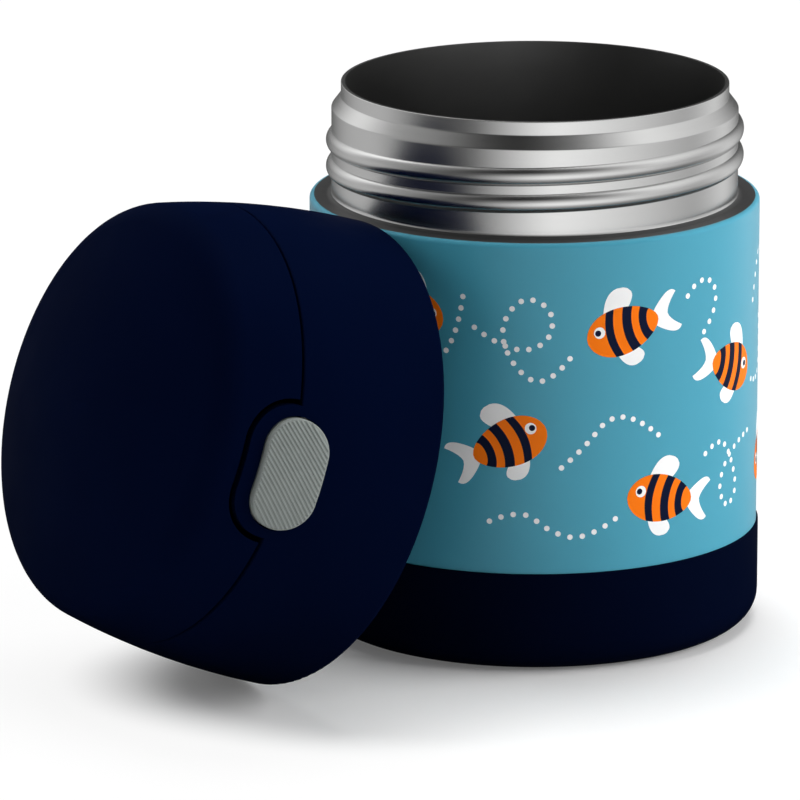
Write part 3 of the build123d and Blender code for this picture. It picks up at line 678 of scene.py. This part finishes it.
# Control points (azimuth in degrees, level in mm) of the bubble trails.
TRAILS = [
    [(8, 64), (2, 58), (-6, 62), (-10, 70), (-4, 77), (4, 74), (3, 67), (-7, 65), (-16, 70)],
    [(47, 66), (52, 70), (51, 76), (44, 77), (41, 74)],
    [(6, 42), (12, 46), (18, 52), (26, 51), (32, 47)],
    [(20, 31), (12, 27), (3, 29), (-4, 34), (-12, 31)],
    [(48, 41), (54, 44), (60, 38), (63, 31), (57, 28), (53, 34), (60, 41), (70, 42)],
    [(73, 52), (80, 50), (86, 56), (84, 63)],
    [(87, 76), (82, 78), (77, 74), (74, 68)],
    [(117, 67), (122, 60), (128, 56), (134, 59)],
    [(148, 47), (155, 46), (157, 39), (152, 34), (147, 38)],
    [(165, 66), (172, 60), (180, 56), (187, 60)],
    [(188, 34), (196, 30), (206, 33), (214, 38)],
    [(219, 67), (226, 66), (231, 60), (238, 64)],
    [(240, 36), (249, 36), (256, 42), (262, 50), (271, 48)],
    [(273, 76), (280, 73), (284, 66), (292, 66)],
    [(297, 44), (304, 48), (311, 49), (317, 52)],
    [(-19, 76), (-21, 65), (-32, 60), (-42, 58)],
]


def wrapped(along, level, out):
    """Place on the wall for flat print coordinates, all in mm."""
    angle = along * MM / WALL_RADIUS
    far = WALL_RADIUS + out * MM
    return Vector((far * sin(angle), -far * cos(angle), level * MM))


def body_half(along):
    """Half height of a fish's body at a place along it."""
    tip = 0.999               # just short of the body's ends, where there is no height left
    share = max(-tip, min(tip, along / BODY_LENGTH))
    oval = (1.0 - share * share) ** BODY_BLUNTNESS
    return BODY_HEIGHT * oval * (1.0 + HEAD_FULLNESS * share)


def body_grid(start, end, bow, columns, rows):
    """Slice of the body between two places, its edges bowed towards the head."""
    grid = []
    for column in range(columns + 1):
        along = start + (end - start) * column / columns
        line = []
        for row in range(rows + 1):
            up = -1.0 + 2.0 * row / rows
            x = along + bow * (1.0 - up * up)
            line.append((x, up * body_half(x)))
        grid.append(line)
    return grid


def fan_grid(root, tip, root_half, tip_half, fork, lean, end, columns, rows):
    """Fin or tail from a root to a tip on the x axis; fork pulls in the middle of its end.

    end says how much the sides close in on each other at the tip, from 0 to 1.
    """
    grid = []
    for column in range(columns + 1):
        share = column / columns
        half = root_half + (tip_half - root_half) * share ** 0.75
        half *= sqrt(1.0 - end * share ** 4)
        line = []
        for row in range(rows + 1):
            up = -1.0 + 2.0 * row / rows
            reach = 1.0 - fork * (1.0 - abs(up) ** 1.6) * share
            line.append((root + (tip - root) * share * reach, up * half + lean * share * share))
        grid.append(line)
    return grid


def moved(grid, x, y, turn):
    """The grid turned about its origin, then shifted."""
    c, s = cos(radians(turn)), sin(radians(turn))
    return [[(x + c * a - s * b, y + s * a + c * b) for a, b in line] for line in grid]


def disc_grid(x, y, radius, columns=12, rows=4):
    """Round patch, cut in columns."""
    widest = 0.995            # the first and last columns stop short of the rim
    grid = []
    for column in range(columns + 1):
        share = -widest + 2.0 * widest * column / columns
        half = radius * sqrt(1.0 - share * share)
        grid.append([(x + radius * share, y + half * (-1.0 + 2.0 * row / rows))
                     for row in range(rows + 1)])
    return grid


def fish_shapes():
    """(ink, height above the paint, flat grid) of each shape of a fish that swims along +x."""
    tail = fan_grid(root=-5.4, tip=-10.6, root_half=0.7, tip_half=4.7, fork=0.45, lean=0.0,
                    end=0.6, columns=14, rows=10)
    back_fin = fan_grid(root=0.0, tip=5.2, root_half=1.6, tip_half=2.5, fork=0.0, lean=0.9,
                        end=0.98, columns=14, rows=8)
    belly_fin = fan_grid(root=0.0, tip=4.2, root_half=1.2, tip_half=2.1, fork=0.0, lean=-0.8,
                         end=0.98, columns=14, rows=8)
    shapes = [
        ("white", FIN_TOP, tail),
        ("white", FIN_TOP, moved(back_fin, 1.4, 2.6, turn=118.0)),
        ("white", FIN_TOP, moved(belly_fin, 1.0, -2.7, turn=-122.0)),
        ("orange", BODY_TOP, body_grid(-6.35, 6.35, bow=0.0, columns=40, rows=12)),
    ]
    for start, end in ((-5.0, -3.6), (-2.3, -0.7), (0.9, 2.3)):
        shapes.append(("navy", BAND_TOP, body_grid(start, end, bow=0.8, columns=6, rows=12)))
    shapes.append(("white", EYE_TOP, disc_grid(4.1, 0.9, radius=0.95)))
    shapes.append(("navy", PUPIL_TOP, disc_grid(4.35, 0.9, radius=0.5)))
    return shapes


def add_slab(shape, grid, height, place):
    """Thin closed slab of ink over a grid of flat points."""
    layers = []
    for out in (height, INK_SINK):
        layers.append([[shape.verts.new(wrapped(*place(x, y), out)) for x, y in line]
                       for line in grid])
    top, low = layers
    columns, rows = len(grid), len(grid[0])
    for i in range(columns - 1):
        for j in range(rows - 1):
            shape.faces.new((top[i][j], top[i + 1][j], top[i + 1][j + 1], top[i][j + 1]))
            shape.faces.new((low[i][j], low[i][j + 1], low[i + 1][j + 1], low[i + 1][j]))
    edge = [(i, 0) for i in range(columns)] + [(columns - 1, j) for j in range(1, rows)]
    edge += [(i, rows - 1) for i in range(columns - 2, -1, -1)]
    edge += [(0, j) for j in range(rows - 2, 0, -1)]
    for (i, j), (k, m) in zip(edge, edge[1:] + edge[:1]):
        shape.faces.new((top[i][j], low[i][j], low[k][m], top[k][m]))


def fish_print():
    """Shoal of striped fish in three inks, one piece for each ink."""
    inks = {"orange": INK_ORANGE, "navy": INK_NAVY, "white": INK_WHITE}
    sheets = {name: bmesh.new() for name in inks}
    for azimuth, level, turn, swims in FISH:
        middle = radians(azimuth) * WALL_RADIUS / MM
        c, s = cos(radians(turn)), sin(radians(turn))

        def place(x, y):
            x *= swims * FISH_SCALE
            y *= FISH_SCALE
            return (middle + c * x - s * y, level + s * x + c * y)

        for ink, height, grid in fish_shapes():
            add_slab(sheets[ink], grid, height, place)
    for name, sheet in sheets.items():
        bmesh.ops.recalc_face_normals(sheet, faces=sheet.faces)
        piece = linked("print_" + name, mesh_of("print_" + name, sheet, inks[name]))
        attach(piece, "jar")


BUBBLE_STEP = 2.3 * MM


def bubble_tree():
    """Round dots at even steps along flat curves, wrapped on the wall."""
    tree, given, ids = new_tree("bubbles", {
        "Spacing": ("NodeSocketFloat", BUBBLE_STEP),
        "Dot Radius": ("NodeSocketFloat", 0.56 * MM),
        "Ink Height": ("NodeSocketFloat", 0.06 * MM),
        "Wall Radius": ("NodeSocketFloat", WALL_RADIUS),
    })
    value = given.outputs
    steps = add(tree, "GeometryNodeResampleCurve", {
        "Curve": value["Geometry"], "Length": value["Spacing"]}, mode="LENGTH")
    dot = add(tree, "GeometryNodeMeshCylinder", {
        "Radius": value["Dot Radius"], "Depth": value["Ink Height"]}, Vertices=14)
    facing = add(tree, "GeometryNodeTransform", {"Geometry": dot.outputs[0]},
                 Rotation=(radians(90.0), 0.0, 0.0))
    dots = add(tree, "GeometryNodeInstanceOnPoints", {
        "Points": steps.outputs[0], "Instance": facing.outputs[0]})
    dots = add(tree, "GeometryNodeRealizeInstances", {"Geometry": dots.outputs[0]})
    flat = add(tree, "ShaderNodeSeparateXYZ",
               {"Vector": add(tree, "GeometryNodeInputPosition").outputs[0]}).outputs
    angle = calc(tree, "DIVIDE", flat[0], value["Wall Radius"])
    far = calc(tree, "SUBTRACT", value["Wall Radius"], flat[1])
    wrap = point(tree, calc(tree, "MULTIPLY", far, calc(tree, "SINE", angle)),
                 calc(tree, "MULTIPLY", calc(tree, "MULTIPLY", far, -1.0),
                      calc(tree, "COSINE", angle)), flat[2])
    laid = add(tree, "GeometryNodeSetPosition", {"Geometry": dots.outputs[0], "Position": wrap})
    finish_tree(tree, laid.outputs[0], INK_WHITE)
    return tree, ids


def bubble_trails():
    curve = bpy.data.curves.new("bubble_trails", "CURVE")
    curve.dimensions = "3D"
    for trail in TRAILS:
        line = curve.splines.new("NURBS")
        line.points.add(len(trail) - 1)
        for knot, (azimuth, level) in zip(line.points, trail):
            knot.co = (radians(azimuth) * WALL_RADIUS, 0.0, level * MM, 1.0)
        line.order_u = 3
        line.use_endpoint_u = True
        line.resolution_u = 12
    tree, ids = bubble_tree()
    bake("bubble_trails", bpy.data.objects.new("bubble_trails", curve), tree,
         {"Spacing": BUBBLE_STEP}, ids, "jar")


# ---- camera ----------------------------------------------------------------------------------
SENSOR = 36.0                 # mm
FOCAL_LENGTH = 343.2          # mm
EYE = (-26.90 * MM, -1486.56 * MM, 428.88 * MM)
EYE_TILT = 75.49              # degrees up from looking straight down
CLIP_END = 20.0


def camera():
    """Long lens at the height from which the open mouth shows as a narrow oval."""
    lens = bpy.data.cameras.new("camera")
    lens.sensor_width = SENSOR
    lens.lens = FOCAL_LENGTH
    lens.clip_end = CLIP_END
    seen_from = linked("camera", lens)
    seen_from.location = EYE
    seen_from.rotation_euler = (radians(EYE_TILT), 0.0, 0.0)
    bpy.context.scene.camera = seen_from


# ---- studio ----------------------------------------------------------------------------------
AIM = Vector((0.0, 0.0, 50.0 * MM))


def softbox(name, azimuth, elevation, distance, width, height, power):
    """Area light aimed at the jar's middle, not mirrored. Azimuth 0 is the front, 90 right."""
    lamp = bpy.data.lights.new(name, "AREA")
    lamp.shape = "RECTANGLE"
    lamp.size = width
    lamp.size_y = height
    lamp.energy = power
    around = radians(azimuth - 90.0)
    up = radians(elevation)
    out = Vector((cos(around) * cos(up), sin(around) * cos(up), sin(up)))
    box = linked(name, lamp)
    box.location = AIM + out * distance
    box.rotation_euler = out.to_track_quat("Z", "Y").to_euler()
    box.visible_glossy = False


# (name, azimuth and elevation in degrees; distance, width and height in metres; watts)
SOFTBOXES = [
    ("key", 85.0, 21.0, 1.6, 1.3, 1.0, 23.0),
    ("fill", -78.0, 30.0, 1.8, 0.8, 1.0, 8.0),
    ("top", 170.0, 72.0, 1.6, 1.1, 1.0, 18.0),
]

# What metal sees round the studio: (azimuth, strength) of the light near the floor and above.
LOW_LIGHTS = [(-180, 0.03), (-158, 0.12), (-128, 0.6), (-98, 0.7), (-60, 0.12), (-36, 0.13),
              (8, 1.4), (96, 0.52), (128, 1.0), (160, 0.06)]
HIGH_LIGHTS = [(-180, 0.1), (-132, 1.9), (-108, 0.4), (-80, 0.34), (-45, 0.06), (-8, 0.0),
               (40, 0.22), (80, 1.35), (130, 0.7), (155, 0.1)]
BRIGHTEST = 2.0               # a colour ramp holds 0 to 1, so it stands for 0 to this strength
HIGH_RING = 0.7               # sine of the height above the floor where HIGH_LIGHTS hold in full
SKY_LIGHT = 0.3

FLOOR_RADIUS = 5.0
COVE_RADIUS = 4.9
COVE_HEIGHT = 2.6
COVE_MIDDLE = 1.25            # its foot lies a little under the floor
STAGE_SEGMENTS = 96           # of the floor and the cove
FLOOR_GREY = 0.93
FLOOR_ROUGHNESS = 0.9
FLOOR_LIFT = 0.1              # light that only the camera sees, so that the lit floor is white
# Outside an oval round the lid and the front of the jar, the shadow fades into white.
# Squeezed and then shifted, the floor's coordinates turn that oval into a circle round zero.
OVAL_SQUEEZE = (0.69, 1.0, 1.0)
OVAL_SHIFT = (8.1 * MM, 47.5 * MM, 0.0)
FADE_START, FADE_END = 38.5 * MM, 58.0 * MM
FADE_WHITE = 0.87             # share of white where the fade has ended
KEPT_START, KEPT_END = 50.0 * MM, 75.0 * MM      # from the axis; nearer, nothing fades
# The floor that metal mirrors is dim near the jar, where jar and lid keep the light off.
DIM_START, DIM_END = 70.0 * MM, 300.0 * MM
DIM_SHARE = 0.08


def mirrored_studio(tree, place):
    """Strength of the light that a glossy surface finds towards a place in the studio."""
    across, back, up = add(tree, "ShaderNodeSeparateXYZ", {"Vector": place}).outputs
    around = calc(tree, "ARCTAN2", across, calc(tree, "MULTIPLY", back, -1.0))
    around = calc(tree, "ADD", calc(tree, "DIVIDE", around, 2.0 * pi), 0.5)
    rings = []
    for lights in (LOW_LIGHTS, HIGH_LIGHTS):
        stops = [(azimuth / 360.0 + 0.5, strength / BRIGHTEST) for azimuth, strength in lights]
        rings.append(calc(tree, "MULTIPLY", ramp(tree, around, stops), BRIGHTEST))
    far = length_of(tree, place)
    height = calc(tree, "DIVIDE", calc(tree, "DIVIDE", up, far), HIGH_RING, clamp=True)
    rise = calc(tree, "MULTIPLY", calc(tree, "SUBTRACT", rings[1], rings[0]), height)
    return calc(tree, "ADD", rings[0], rise)


def glow(tree, strength):
    """White light; its strength is a socket or a number."""
    light = add(tree, "ShaderNodeEmission", Color=(1.0, 1.0, 1.0, 1.0))
    feed(tree, light.inputs["Strength"], strength)
    return light.outputs[0]


def stage_piece(name, make, lift=0.0):
    """Floor or backdrop mesh with a plain material; returns the material's tree."""
    shape = bmesh.new()
    make(shape)
    material = bpy.data.materials.new(name)
    material.use_nodes = True
    mesh = mesh_of(name, shape, material)
    mesh.transform(Matrix.Translation((0.0, 0.0, lift)))
    piece = linked(name, mesh)
    return material.node_tree


def floor():
    """Wide pale floor that keeps the shadow."""
    tree = stage_piece("floor", lambda shape: bmesh.ops.create_circle(
        shape, cap_ends=True, segments=STAGE_SEGMENTS, radius=FLOOR_RADIUS))
    shader = tree.nodes["Principled BSDF"]
    shader.inputs["Base Color"].default_value = (FLOOR_GREY, FLOOR_GREY, FLOOR_GREY, 1.0)
    shader.inputs["Roughness"].default_value = FLOOR_ROUGHNESS
    shader.inputs["Specular IOR Level"].default_value = 0.0
    path = add(tree, "ShaderNodeLightPath").outputs
    lift = calc(tree, "MULTIPLY", path["Is Camera Ray"], FLOOR_LIFT)
    lifted = add(tree, "ShaderNodeAddShader", {0: shader.outputs[0], 1: glow(tree, lift)})
    place = add(tree, "ShaderNodeTexCoord").outputs["Object"]
    far = length_of(tree, place)
    oval = add(tree, "ShaderNodeMapping", {"Vector": place},
               Location=OVAL_SHIFT, Scale=OVAL_SQUEEZE).outputs[0]
    fade = add(tree, "ShaderNodeMapRange", {"Value": length_of(tree, oval)},
               interpolation_type="SMOOTHSTEP",
               From_Min=FADE_START, From_Max=FADE_END, To_Max=FADE_WHITE)
    clear = add(tree, "ShaderNodeMapRange", {"Value": far}, interpolation_type="SMOOTHSTEP",
                From_Min=KEPT_START, From_Max=KEPT_END)
    white = calc(tree, "MULTIPLY", fade.outputs[0], clear.outputs[0])
    faded = add(tree, "ShaderNodeMixShader", {
        0: calc(tree, "MULTIPLY", path["Is Camera Ray"], white),
        1: lifted.outputs[0], 2: glow(tree, 1.0)})
    under = add(tree, "ShaderNodeMapRange", {"Value": far},
                From_Min=DIM_START, From_Max=DIM_END, To_Min=DIM_SHARE, To_Max=1.0)
    seen = add(tree, "ShaderNodeMixShader", {
        0: path["Is Glossy Ray"], 1: faded.outputs[0],
        2: glow(tree, calc(tree, "MULTIPLY", mirrored_studio(tree, place), under.outputs[0]))})
    tree.links.new(seen.outputs[0], tree.nodes["Material Output"].inputs["Surface"])


def cove():
    """White wall right round the floor, for the camera and the metal. It lights nothing."""
    tree = stage_piece("cove", lambda shape: bmesh.ops.create_cone(
        shape, segments=STAGE_SEGMENTS, radius1=COVE_RADIUS, radius2=COVE_RADIUS,
        depth=COVE_HEIGHT), lift=COVE_MIDDLE)
    tree.nodes.remove(tree.nodes["Principled BSDF"])
    path = add(tree, "ShaderNodeLightPath").outputs
    place = add(tree, "ShaderNodeTexCoord").outputs["Object"]
    mirrored = calc(tree, "MULTIPLY", mirrored_studio(tree, place), path["Is Glossy Ray"])
    tree.links.new(glow(tree, calc(tree, "ADD", path["Is Camera Ray"], mirrored)),
                   tree.nodes["Material Output"].inputs["Surface"])


def studio():
    """Sky, lamps, floor and cove."""
    world = bpy.data.worlds.new("studio")
    world.use_nodes = True
    tree = world.node_tree
    sky = tree.nodes["Background"]
    sky.inputs["Color"].default_value = (1.0, 1.0, 1.0, 1.0)
    glossy = add(tree, "ShaderNodeLightPath").outputs["Is Glossy Ray"]
    direction = add(tree, "ShaderNodeTexCoord").outputs["Generated"]
    extra = calc(tree, "SUBTRACT", mirrored_studio(tree, direction), SKY_LIGHT)
    strength = calc(tree, "ADD", calc(tree, "MULTIPLY", extra, glossy), SKY_LIGHT)
    tree.links.new(strength, sky.inputs["Strength"])
    bpy.context.scene.world = world
    for lamp in SOFTBOXES:
        softbox(*lamp)
    floor()
    cove()


finish_the_nodes()
steel_wall()
neck_thread()
button_ribs()
fish_print()
bubble_trails()
studio()
camera()
bpy.context.scene.view_settings.view_transform = "Standard"
